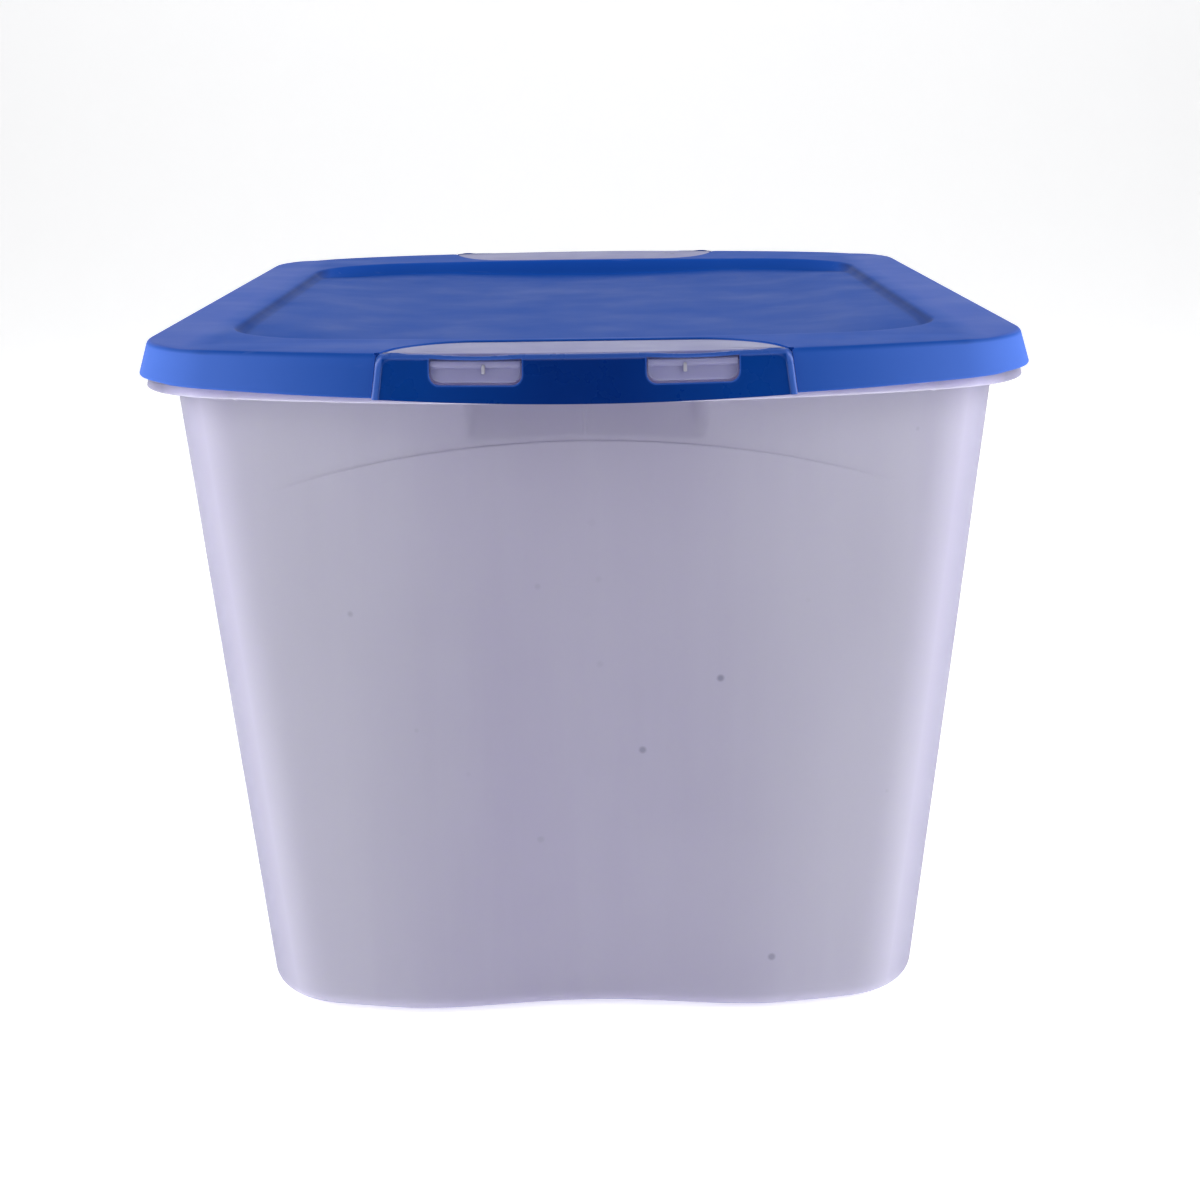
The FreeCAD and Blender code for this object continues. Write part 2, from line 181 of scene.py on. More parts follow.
def ramp(t, blend=0.3):
    """Straight ramp from 0 to 1 with both ends eased over blend."""
    if t < blend:
        return t * t / (2 * blend * (1 - blend))
    if t > 1 - blend:
        return 1 - (1 - t) ** 2 / (2 * blend * (1 - blend))
    return (t - blend / 2) / (1 - blend)


def quarter_turn(count):
    """Pairs (1 - sin, 1 - cos) at even angles from 0 to 90 degrees, for rounding an edge."""
    angles = [math.pi / 2 * i / count for i in range(count + 1)]
    return [(1 - math.sin(a), 1 - math.cos(a)) for a in angles]


def grown(line, grow):
    return tuple(v + grow for v in line)


def lid_line(inset, z):
    """Outline of the lid side at a height, moved in by inset."""
    return grown(LID_LINE, SKIRT_FLARE * (LID_TOP - z) / (LID_TOP - SKIRT_LOW) - inset)


def rim_line(inset, z):
    """Outline of the tub lip at a height, moved in by inset."""
    return grown(LID_LINE, LIP_FLARE * (RIM_TOP - z) / (RIM_TOP - LIP_LOW) - RIM_INSET - inset)


def wall_line(inset, z):
    """Outline of the tub wall at a height, moved in by inset."""
    t = z / LIP_LOW
    return tuple(mix(a, b, t) - inset for a, b in zip(WALL_BASE_LINE, WALL_TOP_LINE))


def plan_point(mark, line):
    """Point of an outline at a station of its first quarter."""
    zone, t = mark
    hx, hy, end, corner = line
    centre = hy - end
    cx = hx - corner
    cy = centre + math.sqrt((end - corner) ** 2 - cx ** 2)
    if zone == SIDE:
        return hx, cy * t
    turn = math.atan2(cy - centre, cx)
    if zone == CORNER:
        return cx + corner * math.cos(turn * t), cy + corner * math.sin(turn * t)
    x = t
    if t > FLAT_X:
        x = FLAT_X + (t - FLAT_X) * (end * math.cos(turn) - FLAT_X)
    return x, centre + math.sqrt(end ** 2 - x ** 2)


def end_y(line, x):
    """Distance of an outline's end from the centre line, at some x."""
    hx, hy, end, corner = line
    centre = hy - end
    cx = hx - corner
    cy = centre + math.sqrt((end - corner) ** 2 - cx ** 2)
    if abs(x) <= end * cx / (end - corner):
        return centre + math.sqrt(end ** 2 - x ** 2)
    return cy + math.sqrt(max(0.0, corner ** 2 - (abs(x) - cx) ** 2))


def stations(sides, corners, far, near):
    """Stations of one quarter, from the middle of a side to the middle of an end."""
    marks = [(SIDE, i / sides) for i in range(sides)]
    marks += [(CORNER, i / corners) for i in range(corners)]
    marks += [(END, FLAT_X + 1 - i / far) for i in range(far)]
    return marks + [(END, x) for x in sorted(near, reverse=True)]


def steps(*runs):
    """Numbers from runs of (start, stop, count), each run without its stop."""
    found = []
    for start, stop, count in runs:
        found += [mix(start, stop, i / count) for i in range(count)]
    return found


def level(line, z):
    """Row of a skin: an outline at one height."""
    return lambda mark: (*plan_point(mark, line), z)


def shrunk(row, scale, z):
    """Row drawn in towards the centre, at one height."""
    return lambda mark: (row(mark)[0] * scale, row(mark)[1] * scale, z)


def between(row_a, row_b, t):
    """Row part of the way from one row to another."""
    return lambda mark: tuple(mix(a, b, t) for a, b in zip(row_a(mark), row_b(mark)))


def whole_loop(row, marks):
    """All four quarters of a row."""
    quarter = [row(mark) for mark in marks]
    loop = list(quarter)
    loop += [(-x, y, z) for x, y, z in reversed(quarter[:-1])]
    loop += [(-x, -y, z) for x, y, z in quarter[1:]]
    return loop + [(x, -y, z) for x, y, z in reversed(quarter[1:-1])]


def skin(bm, loops):
    """Closed skin through loops of equal length, with a fan to a centre point at each end."""
    rings = [[bm.verts.new(Vector(p) * MM) for p in loop] for loop in loops]
    for low, high in zip(rings, rings[1:]):
        for i in range(len(low)):
            j = (i + 1) % len(low)
            bm.faces.new((low[i], low[j], high[j], high[i]))
    for ring in (rings[0], rings[-1]):
        middle = sum((v.co for v in ring), Vector()) / len(ring)
        hub = bm.verts.new(middle)
        for i in range(len(ring)):
            bm.faces.new((ring[i], ring[(i + 1) % len(ring)], hub))


def finish_mesh(name, bm, crease=35):
    """Object from a bmesh, smooth apart from edges sharper than crease degrees."""
    bmesh.ops.recalc_face_normals(bm, faces=bm.faces)
    mesh = bpy.data.meshes.new(name)
    bm.to_mesh(mesh)
    bm.free()
    mesh.polygons.foreach_set("use_smooth", [True] * len(mesh.polygons))
    mesh.set_sharp_from_angle(angle=math.radians(crease))
    piece = bpy.data.objects.new(name, mesh)
    bpy.context.scene.collection.objects.link(piece)
    return piece


def round_edges(piece, width, segments=3, angle=50):
    """Rounded edges as a modifier, on corners sharper than angle degrees."""
    mod = piece.modifiers.new("round_edges", "BEVEL")
    mod.width = width * MM
    mod.segments = segments
    mod.limit_method = "ANGLE"
    mod.angle_limit = math.radians(angle)


def turned(points):
    """The same points at the far end."""
    return [(-x, -y, z) for x, y, z in points]


def place(piece, material, body, slot, *nodes):
    """Give a finished piece its material and body; the slot argument is not used."""
    piece.data.materials.append(material)
    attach(piece, body)
    if nodes:
        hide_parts(*nodes)
    return piece


# ---------------------------------------------------------------- tub


def arch(x):
    """Height of the arched ledge on the end wall, level beyond its ends."""
    return ARC_TOP - ARC_RADIUS + math.sqrt(ARC_RADIUS ** 2 - min(abs(x), ARC_HALF) ** 2)


def hollow(x, z):
    """Depth of the hollow in the end wall below the ledge."""
    over = z - arch(x)
    half = mix(HOLLOW_FOOT, HOLLOW_HEAD, z / ARC_TOP)
    basin = max(0.0, 1 - (x / half) ** 2) ** 2
    shelf = 1 - ease(HOLLOW_FADE, ARC_HALF, x)
    depth = HOLLOW_LOW * (1 - 0.5 * ease(0.0, ARC_TOP, z) - 0.5 * z / ARC_TOP)
    return max(0.0, depth) * mix(basin, shelf, ease(-HOLLOW_TURN, -4.0, over))


def set_back(x, z):
    """How far the end wall above the ledge is set back, with the hand-hold in its middle."""
    over = z - arch(x)
    dying = (1 - ease(3.0, 3.0 + LEDGE_RISE, over)) * (1 - ease(LEDGE_FADE, ARC_HALF, x))
    step = LEDGE * ease(-0.3, 0.4, over) * dying
    hold = 1 - ease(POCKET_HALF - POCKET_DRAFT, POCKET_HALF, x)
    rib = POCKET_RIB * ease(2.0, 6.0, over) * (1 - ease(0.4, 1.1, x))
    slope = POCKET_DEPTH * min(1.0, max(0.0, over / POCKET_RISE))
    return mix(step, max(step, slope) - rib, hold)


def wall_row(flat, inset):
    """Row of the tub wall. Its height in the middle of an end is flat; near the ledge it follows it."""
    share = ease(60.0, 270.0, flat) * (1 - ease(299.0, 331.0, flat))

    def row(mark):
        x = plan_point(mark, wall_line(inset, flat))[0]
        z = flat - (ARC_TOP - arch(x)) * share
        x, y = plan_point(mark, wall_line(inset, z))
        if mark[0] == END:
            y -= hollow(x, z) + set_back(x, z)
        return x, y, z

    return row


def tub_rows():
    """Rows of the tub skin, from the middle of its underside, over the rim, to its inner floor."""
    # shallow recess underneath, its step, and the fillet up to the wall
    foot = wall_row(0.0, BASE_FILLET)
    rows = [shrunk(foot, scale, 1.2) for scale in (0.1, 0.4, 0.7, 0.85, 0.925)]
    rows += [shrunk(foot, 0.93, 0.9), shrunk(foot, 0.935, 0.3), shrunk(foot, 0.94, 0.0), foot]
    rows += [wall_row(BASE_FILLET * up, BASE_FILLET * back) for back, up in quarter_turn(7)[1:]]
    # outer wall, with close rows at the ledge
    outer = steps((14, 50, 4), (50, 266, 20), (266, 290, 5), (290, 295, 4))
    outer += [295.3, 295.7, 296.0, 296.3, 296.7, 297.2, 298, 299, 300, 301, 302]
    outer += steps((303.5, 311, 5), (311, 331, 6)) + [331.0]
    rows += [wall_row(z, 0.0) for z in outer]
    # underside of the rim, then down the inside of the lip, round its edge and up its outside
    low = RIM_TOP - WALL
    rows += [wall_row(low - 0.5, -0.4), wall_row(low, -1.6)]
    rows += [level(rim_line(WALL + 0.8, low), low), level(rim_line(WALL, low - 0.8), low - 0.8)]
    rows += [level(rim_line(WALL, z), z) for z in (328.0, 322.0, 317.0)]
    lip = ((1.9, 0.5), (1.5, 0.1), (1.0, 0.0), (0.5, 0.1), (0.1, 0.5), (0.0, 1.0))
    rows += [level(rim_line(inset, LIP_LOW + up), LIP_LOW + up) for inset, up in lip]
    rows += [level(rim_line(0.0, z), z) for z in (319.0, 323.0, 327.0, 331.0, 334.4)]
    # over the rim
    rows += [level(rim_line(0.3, RIM_TOP - 0.3), RIM_TOP - 0.3), level(rim_line(1.1, RIM_TOP), RIM_TOP)]
    rows += [wall_row(RIM_TOP, WALL - 1.1), wall_row(RIM_TOP - 0.3, WALL - 0.3)]
    # down the inner wall, round the inner fillet and over the floor
    inner = [z for z in outer if z > BASE_FILLET + 8]
    rows += [wall_row(z, WALL) for z in [334.4] + inner[::-1]]
    bend = BASE_FILLET - WALL
    rows += [wall_row(WALL + bend * up, WALL + bend * back) for back, up in quarter_turn(6)[::-1]]
    floor = wall_row(WALL, BASE_FILLET)
    return rows + [shrunk(floor, scale, WALL) for scale in (0.97, 0.85, 0.6, 0.3, 0.1)]


def make_tub_shell():
    near = steps((0, 0.4, 1), (0.4, 1.2, 3), (1.2, 4, 1), (4, 49, 9), (49, 64, 12), (64, 97, 9)) + [97.0]
    marks = stations(14, 16, 10, near)
    bm = bmesh.new()
    skin(bm, [whole_loop(row, marks) for row in tub_rows()])
    for v in bm.verts:
        if v.co.z > 0.02:
            sway = noise.noise(v.co * 9.0) * WALL_WAVE + noise.noise(v.co * 30.0) * WALL_RIPPLE
            out = Vector((v.co.x, v.co.y, 0)).normalized()
            v.co -= out * (0.12 + abs(sway)) * MM * ease(0.02, 0.06, v.co.z) * (1 - ease(0.26, 0.3, v.co.z))
    return finish_mesh("tub_shell", bm, 32)


def crescent(grow, tip, count):
    """Curved edge of the shelf from its right tip, at y = -tip, to its left one."""
    rx = SHELF_ROUND + grow
    ry = SHELF_BASE - SHELF_IN + grow
    flat = SHELF_HALF - SHELF_ROUND
    start = math.asin((SHELF_BASE - tip) / ry)
    right = []
    for i in range(count + 1):
        a = mix(start, math.pi / 2, i / count)
        right.append((flat + rx * math.cos(a), -SHELF_BASE + ry * math.sin(a)))
    return right + [(-x, y) for x, y in reversed(right)]


def offset(points, inset):
    """Closed counter-clockwise outline moved in by inset."""
    found = []
    n = len(points)
    for i, (x, y) in enumerate(points):
        ax, ay = points[i - 1]
        bx, by = points[(i + 1) % n]
        run = Vector((bx - ax, by - ay)).normalized()
        found.append((x - run.y * inset, y + run.x * inset))
    return found


def shelf_top(y):
    """Height of the crescent shelf, which rises towards the end of the tub."""
    return mix(SHELF_LOW, SHELF_HIGH, (abs(y) - SHELF_IN) / (LID_LINE[1] - RIM_INSET - SHELF_IN))


def make_shelf(name, far_end):
    """Crescent shelf on the rim, with rounded edges. It reaches almost to the back of the latch."""
    curve = crescent(0.0, SHELF_TIP, 20)
    reach = curve[0][0]
    bow = [mix(-reach, reach, i / 40) for i in range(41)]
    line = curve + [(x, -end_y(lid_line(2.0 + 1.5 * ease(60.0, reach, abs(x)), LID_TOP), x)) for x in bow]
    loops = []
    for inset, drop in ((0.0, None), (0.0, 0.9), (0.12, 0.5), (0.4, 0.14), (0.9, 0.0), (1.6, 0.0)):
        ring = []
        for (x, y), (u, v) in zip(line, offset(line, inset)):
            z = RIM_TOP - WALL if drop is None else shelf_top(v) - drop
            ring.append((u, v, z))
        loops.append(turned(ring) if far_end else ring)
    bm = bmesh.new()
    skin(bm, loops)
    return finish_mesh(name, bm)


def bowed_grid(bm, xs, rows_at, front, back, hole=None, lean=lambda x, z: x):
    """Plate that follows the bow of the end: a front and a back sheet joined round their edges.

    rows_at(x) gives the heights of its rows; front and back give the inset from the skirt
    line at (x, z). Cells for which hole(x, k) is true are left open. lean(x, z) moves a point sideways.
    """
    sheets = []
    for inset in (front, back):
        sheet = []
        for x in xs:
            column = [(lean(x, z), -end_y(lid_line(inset(x, z), z), lean(x, z)), z) for z in rows_at(x)]
            sheet.append([bm.verts.new(Vector(p) * MM) for p in column])
        sheets.append(sheet)
    kept = set()
    for i in range(len(xs) - 1):
        for k in range(len(rows_at(xs[0])) - 1):
            middle = sum((v.co for v in (sheets[0][i][k], sheets[0][i + 1][k + 1])), Vector()) / 2 / MM
            if not (hole and hole(middle.x, k)):
                kept.add((i, k))
    for i, k in kept:
        for sheet, way in ((sheets[0], 1), (sheets[1], -1)):
            face = (sheet[i][k], sheet[i + 1][k], sheet[i + 1][k + 1], sheet[i][k + 1])
            bm.faces.new(face[::way])
        sides = {(-1, 0): ((i, k), (i, k + 1)), (1, 0): ((i + 1, k + 1), (i + 1, k)),
                 (0, -1): ((i + 1, k), (i, k)), (0, 1): ((i, k + 1), (i + 1, k + 1))}
        for (di, dk), ((a, b), (c, d)) in sides.items():
            if (i + di, k + dk) not in kept:
                bm.faces.new((sheets[0][a][b], sheets[0][c][d], sheets[1][c][d], sheets[1][a][b]))
    loose = [v for v in bm.verts if not v.link_faces]
    bmesh.ops.delete(bm, geom=loose, context="VERTS")


def corner_lift(distance, radius):
    """How much a rounded lower corner lifts an edge, at a distance from its side."""
    if distance >= radius:
        return 0.0
    return radius - math.sqrt(max(0.0, radius ** 2 - (radius - distance) ** 2))


def corner_steps(radius, count=5):
    """Distances from the side that trace a rounded corner evenly."""
    return [radius * (1 - math.cos(math.pi / 2 * i / count)) for i in range(count + 1)]


def turn_round(bm):
    """Turn everything in a bmesh to the far end."""
    bmesh.ops.rotate(bm, verts=bm.verts, cent=(0, 0, 0), matrix=Matrix.Rotation(math.pi, 3, "Z"))


def make_lug(name, mid, far_end):
    """Lug on the lip that stands in a window of the latch."""
    cuts = [mid - LUG_HALF + s for s in corner_steps(LUG_ROUND)]
    cuts += steps((mid - 14, mid + 14, 9)) + [mid + 14]
    cuts += [mid + LUG_HALF - s for s in reversed(corner_steps(LUG_ROUND))]

    def rows_at(x):
        low = LUG_LOW + corner_lift(LUG_HALF - abs(x - mid), LUG_ROUND)
        return [mix(low, LUG_HIGH, t) for t in (0, 0.2, 0.4, 0.6, 0.68, 0.74, 0.8, 0.9, 1)]

    bm = bmesh.new()
    bowed_grid(bm, cuts, rows_at, lambda x, z: 0.6 - 0.9 * ease(331.8, 332.8, z), lambda x, z: 5.6)
    if far_end:
        turn_round(bm)
    piece = finish_mesh(name, bm)
    round_edges(piece, 0.45)
    return piece


def make_rib(name, mid, far_end):
    """Small upright rib on the face of a lug."""
    x = math.copysign(abs(mid) - RIB_IN, mid)
    bm = bmesh.new()
    columns = [x - RIB_HALF, x, x + RIB_HALF]
    rows = [RIB_LOW, RIB_LOW + 2.2, RIB_HIGH]
    bowed_grid(bm, columns, lambda x: rows, lambda x, z: -0.35, lambda x, z: 0.9)
    if far_end:
        turn_round(bm)
    piece = finish_mesh(name, bm)
    round_edges(piece, 0.3, 2)
    return piece


def make_gusset(name, sign, far_end):
    """Thin gusset between the wall and the lip, showing just below the lip."""
    x = GUSSET_X * sign
    bm = bmesh.new()
    sheets = []
    wall_high = end_y(wall_line(0.5, GUSSET_TOP), x)
    wall_low = end_y(wall_line(0.5, GUSSET_LOW), x)
    lip_high = end_y(rim_line(WALL - 0.5, GUSSET_TOP), x)
    lip_low = end_y(rim_line(WALL - 0.5, GUSSET_TIP - 0.2), x)
    line = [(wall_low, GUSSET_LOW), (wall_low + 2.2, GUSSET_LOW + 0.4)]
    line += [(lip_low - 1.5, GUSSET_TIP - 0.8), (lip_low, GUSSET_TIP)]
    line += [(lip_high, GUSSET_TOP), (wall_high, GUSSET_TOP)]
    for dx in (-GUSSET_HALF, GUSSET_HALF):
        sheets.append([bm.verts.new(Vector((x + dx, -y, z)) * MM) for y, z in line])
    bm.faces.new(sheets[0])
    bm.faces.new(sheets[1][::-1])
    n = len(sheets[0])
    for i in range(n):
        j = (i + 1) % n
        bm.faces.new((sheets[0][j], sheets[0][i], sheets[1][i], sheets[1][j]))
    if far_end:
        turn_round(bm)
    piece = finish_mesh(name, bm)
    round_edges(piece, 0.4, 2)
    return piece


# ---------------------------------------------------------------- lid


def panel_drop(x, y):
    """Depth of the sunken panel: shallower along its sides, and dished in the middle of its ends."""
    dip = 2 * max(0.0, 1 - (x / PANEL_MIDDLE) ** 2) - 1
    side = ease(PANEL_MIDDLE, PANEL_FOOT[0], abs(x)) * (1 - ease(120.0, 210.0, abs(y)))
    return PANEL_DROP * (1 - PANEL_SIDE * side) + PANEL_DISH * dip * ease(110.0, 215.0, abs(y))


def panel_row(t, grow, top):
    """Row on the slope of the sunken panel: t is 0 at its foot and 1 at its rim."""
    line = tuple(mix(a, b, t) + grow for a, b in zip(PANEL_FOOT, PANEL_LINE))

    def row(mark):
        x, y = plan_point(mark, line)
        return x, y, top - panel_drop(x, y) * (1 - ramp(t))

    return row


def panel_floor(scale, grow, top):
    """Row on the floor of the sunken panel, drawn in towards its middle."""
    def row(mark):
        x, y = (scale * v for v in plan_point(mark, grown(PANEL_FOOT, grow)))
        return x, y, top - panel_drop(x, y)

    return row


def skirt_edge(x):
    """Height of the lower edge of the skirt, which dips towards the latches."""
    t = min(1.0, max(0.0, (abs(x) - SKIRT_BEND) / SKIRT_RUN))
    return mix(SKIRT_END, SKIRT_SIDE, t ** 1.4)


def skirt_row(inset, up):
    """Row a little above the lower edge of the skirt."""
    def row(mark):
        z = skirt_edge(plan_point(mark, lid_line(inset, SKIRT_END))[0]) + up
        return (*plan_point(mark, lid_line(inset, z)), z)
    return row


def lid_rows():
    """Rows of the lid skin, from the middle of its panel, round the skirt, to the middle underneath."""
    scales = (0.04, 0.15, 0.3, 0.45, 0.55, 0.65, 0.75, 0.84, 0.91, 0.96)
    rows = [panel_floor(scale, 0.0, LID_TOP) for scale in scales]
    rows += [panel_row(i / 14, 0.0, LID_TOP) for i in range(15)]
    rim = panel_row(1.0, 0.0, LID_TOP)
    shoulder = level(lid_line(LID_EDGE + 0.4, LID_TOP), LID_TOP)
    rows += [between(rim, shoulder, t) for t in (0.06, 0.35, 0.65, 0.9)]
    for back, down in quarter_turn(5):
        z = LID_TOP - LID_EDGE * down
        rows.append(level(lid_line(LID_EDGE * back, z), z))
    rows += [level(lid_line(0.0, z), z) for z in (334.0, 331.0, 328.0, 325.0)]
    edge = ((0.0, 1.6), (0.0, 0.9), (0.15, 0.45), (0.5, 0.1), (1.0, 0.0), (1.6, 0.1), (2.0, 0.6))
    rows += [skirt_row(inset, up) for inset, up in edge]
    rows += [level(lid_line(SHEET + 0.1, z), z) for z in (325.0, 330.0, 334.6)]
    under = LID_TOP - SHEET
    rows.append(level(lid_line(SHEET + 0.5, under - 0.4), under - 0.4))
    rows.append(level(lid_line(SHEET + 1.5, under), under))
    rows += [panel_row(1 - i / 8, SHEET, under) for i in range(9)]
    return rows + [panel_floor(scale, SHEET, under) for scale in (0.9, 0.75, 0.6, 0.45, 0.3, 0.1)]


def side_reach(z):
    """Half width of the latch at a height: its sides lean out downwards."""
    return LATCH_HALF + LATCH_SPREAD * (LATCH_TOP - z) / (LATCH_TOP - LATCH_LOW)


def opening_cutter(far_end, edge=0.9):
    """Prism through the lid end: the notch for the latch and the opening over the shelf, edge rounded."""
    curve = crescent(SHELF_GAP, NOTCH_IN, 24)
    levels = [(0.0, 300.0)]
    levels += [(edge * out, LID_TOP - BAND_DIP - edge * down) for down, out in quarter_turn(5)]
    levels.append((edge + 0.2, LID_TOP + 2))
    bm = bmesh.new()
    rings = []
    for grow, z in levels:
        half = side_reach(z) + NOTCH_GAP
        line = [(-half, -330.0), (half, -330.0), (half, -NOTCH_IN)] + curve + [(-half, -NOTCH_IN)]
        ring = [(x, y, z) for x, y in offset(line, -grow)]
        rings.append([bm.verts.new(Vector(p) * MM) for p in (turned(ring) if far_end else ring)])
    for low, high in zip(rings, rings[1:]):
        for i in range(len(low)):
            j = (i + 1) % len(low)
            bm.faces.new((low[i], low[j], high[j], high[i]))
    bm.faces.new(rings[0])
    bm.faces.new(rings[-1])
    return finish_mesh("cutter", bm)


def make_lid_shell():
    near = steps((0, 97, 20)) + [97.0]
    marks = stations(16, 18, 8, near)
    bm = bmesh.new()
    skin(bm, [whole_loop(row, marks) for row in lid_rows()])
    for v in bm.verts:
        x, y = abs(v.co.x) / MM, abs(v.co.y) / MM
        flat = 1 - ease(100.0, 180.0, max(x, y * 0.8))
        band = max(ease(183.0, 205.0, x), ease(236.0, 275.0, y))
        v.co.z += (noise.noise(v.co * 7.0) * SAG * flat - BAND_DIP * (1 - band)) * MM
    shell = finish_mesh("lid_shell", bm)
    cutters = [opening_cutter(False), opening_cutter(True)]
    for cutter in cutters:
        mod = shell.modifiers.new("opening", "BOOLEAN")
        mod.operation = "DIFFERENCE"
        mod.solver = "EXACT"
        mod.object = cutter
    graph = bpy.context.evaluated_depsgraph_get()
    cut = bpy.data.meshes.new_from_object(shell.evaluated_get(graph))
    shell.modifiers.clear()
    shell.data = cut
    cut.materials.clear()
    cut.set_sharp_from_angle(angle=math.radians(32))
    for cutter in cutters:
        bpy.data.objects.remove(cutter)
    return shell


def block(bm, low, high):
    """Box between two corners in millimetres."""
    corners = [Vector((x, y, z)) * MM for x in (low[0], high[0]) for y in (low[1], high[1])
               for z in (low[2], high[2])]
    v = [bm.verts.new(c) for c in corners]
    for face in ((0, 1, 3, 2), (4, 6, 7, 5), (0, 4, 5, 1), (2, 3, 7, 6), (0, 2, 6, 4), (1, 5, 7, 3)):
        bm.faces.new([v[i] for i in face])


def make_bosses(name, far_end):
    """Bosses behind the skirt that hold the pins of one latch."""
    bm = bmesh.new()
    low = HINGE_Z - BOSS_DROP
    side = side_reach(low) + NOTCH_GAP
    for x0 in (-side - BOSS_WIDE, side):
        block(bm, (x0, -HINGE_Y - 0.6, low), (x0 + BOSS_WIDE, 1.7 - HINGE_Y, LID_TOP - 1.5))
    if far_end:
        turn_round(bm)
    piece = finish_mesh(name, bm)
    round_edges(piece, 0.4)
    return piece


# ---------------------------------------------------------------- latches


def strip_sag(x):
    """How far the strip over a window sags."""
    return STRIP_SAG * max(0.0, 1 - ((abs(x) - WINDOW_MID) / WINDOW_HALF) ** 2)


def latch_top(x):
    """Top edge of the latch: it sags over the windows and has a bump near each end."""
    bump = STRIP_BUMP * ease(80.0, 84.0, abs(x)) * (1 - ease(86.5, 90.5, abs(x)))
    return LATCH_TOP - strip_sag(x) + bump - corner_lift(LATCH_HALF - abs(x), 3.0)


def latch_heights(x):
    """Heights of the rows of the latch at one x: below the sill, beside the window and over it."""
    gone = abs(abs(x) - WINDOW_MID)
    sill = WINDOW_LOW
    if gone <= WINDOW_HALF:
        sill += corner_lift(WINDOW_HALF - gone, WINDOW_ROUND)
    else:
        sill += WINDOW_ROUND * (1 - ease(0.0, 5.0, gone - WINDOW_HALF))
    head = min(WINDOW_HIGH, FIELD_TOP + 0.6) - strip_sag(x)
    top = latch_top(x)
    low = LATCH_LOW + LATCH_RISE * (x / LATCH_HALF) ** 2
    rows = [mix(low, sill, t) for t in (0, 0.08, 0.3, 0.6, 0.85)]
    rows += [mix(sill, head, 1 - (1 - i / 15) ** 1.5) for i in range(15)]
    return rows + [mix(head, top, t) for t in (0, 0.25, 0.5, 0.75, 0.92, 1)]


BELOW_ROWS = 5           # rows of the latch below the sill
BESIDE_ROWS = 15         # rows beside a window


def latch_lean(x, z):
    """Where a column of the latch lies at a height: the outer ones lean with its sides."""
    return x + math.copysign((side_reach(z) - LATCH_HALF) * ease(74.0, FIELD_HALF, abs(x)), x)


def latch_face(x, z):
    """How far the front of the latch lies inside the skirt line: a rounded border round a field."""
    dx = abs(x) - FIELD_HALF + FIELD_ROUND
    dz = z - FIELD_TOP + FIELD_ROUND
    away = math.hypot(dx, dz) if dx > 0 and dz > 0 else max(dx, dz)
    across = min(1.0, max(0.0, (away - FIELD_ROUND) / (LATCH_HALF - FIELD_HALF)))
    border = math.sqrt(1 - (2 * across - 1) ** 2)
    roll = min(1.0, max(0.0, (z - FIELD_TOP - 0.3) / (LATCH_TOP - FIELD_TOP - 0.3)))
    back = 1.3 * (1 - math.sqrt(1 - roll * roll))
    return back - mix(FIELD_PROUD, LATCH_PROUD, border)


def latch_columns():
    """Values of x for the columns of the latch, closer together at windows and borders."""
    left = WINDOW_MID - WINDOW_HALF
    right = WINDOW_MID + WINDOW_HALF
    xs = steps((0, 24, 7)) + [24.0, 26.5, left - 0.6]
    xs += [left + s for s in corner_steps(WINDOW_ROUND)]
    xs += steps((left + 7, right - 7, 8)) + [right - 7]
    xs += [right - s for s in reversed(corner_steps(WINDOW_ROUND))]
    bead = FIELD_HALF - 0.4
    xs += [right + 0.6, right + 2.5]
    xs += steps((75, 86, 5), (86, bead, 5), (bead, LATCH_HALF, 14)) + [LATCH_HALF]
    return [-x for x in reversed(xs[1:])] + xs


def make_latch_plate(name, far_end):
    def in_window(x, k):
        beside = BELOW_ROWS <= k < BELOW_ROWS + BESIDE_ROWS
        return beside and abs(abs(x) - WINDOW_MID) < WINDOW_HALF

    bm = bmesh.new()
    bowed_grid(bm, latch_columns(), latch_heights, latch_face, lambda x, z: LATCH_BACK, in_window,
               latch_lean)
    if far_end:
        turn_round(bm)
    piece = finish_mesh(name, bm, 40)
    round_edges(piece, 0.4, 2)
    return piece


def make_ears(name, far_end):
    """Ear and hinge pin at each side of a latch."""
    bm = bmesh.new()
    high = HINGE_Z + EAR_HALF
    outer = side_reach(high)
    for sign in (-1, 1):
        x0 = min(sign * outer, sign * (outer - EAR_WIDE))
        block(bm, (x0, -HINGE_Y - 3.0, HINGE_Z - EAR_HALF), (x0 + EAR_WIDE, 1.2 - HINGE_Y, high))
        turn = Matrix.Translation(Vector((sign * (outer + 0.4), -HINGE_Y, HINGE_Z)) * MM)
        turn = turn @ Matrix.Rotation(math.pi / 2, 4, "Y")
        bmesh.ops.create_cone(bm, cap_ends=True, segments=20, radius1=PIN_RADIUS * MM,
                              radius2=PIN_RADIUS * MM, depth=3.2 * MM, matrix=turn)
    if far_end:
        turn_round(bm)
    piece = finish_mesh(name, bm)
    round_edges(piece, 0.2, 2)
    return piece


# ---------------------------------------------------------------- materials

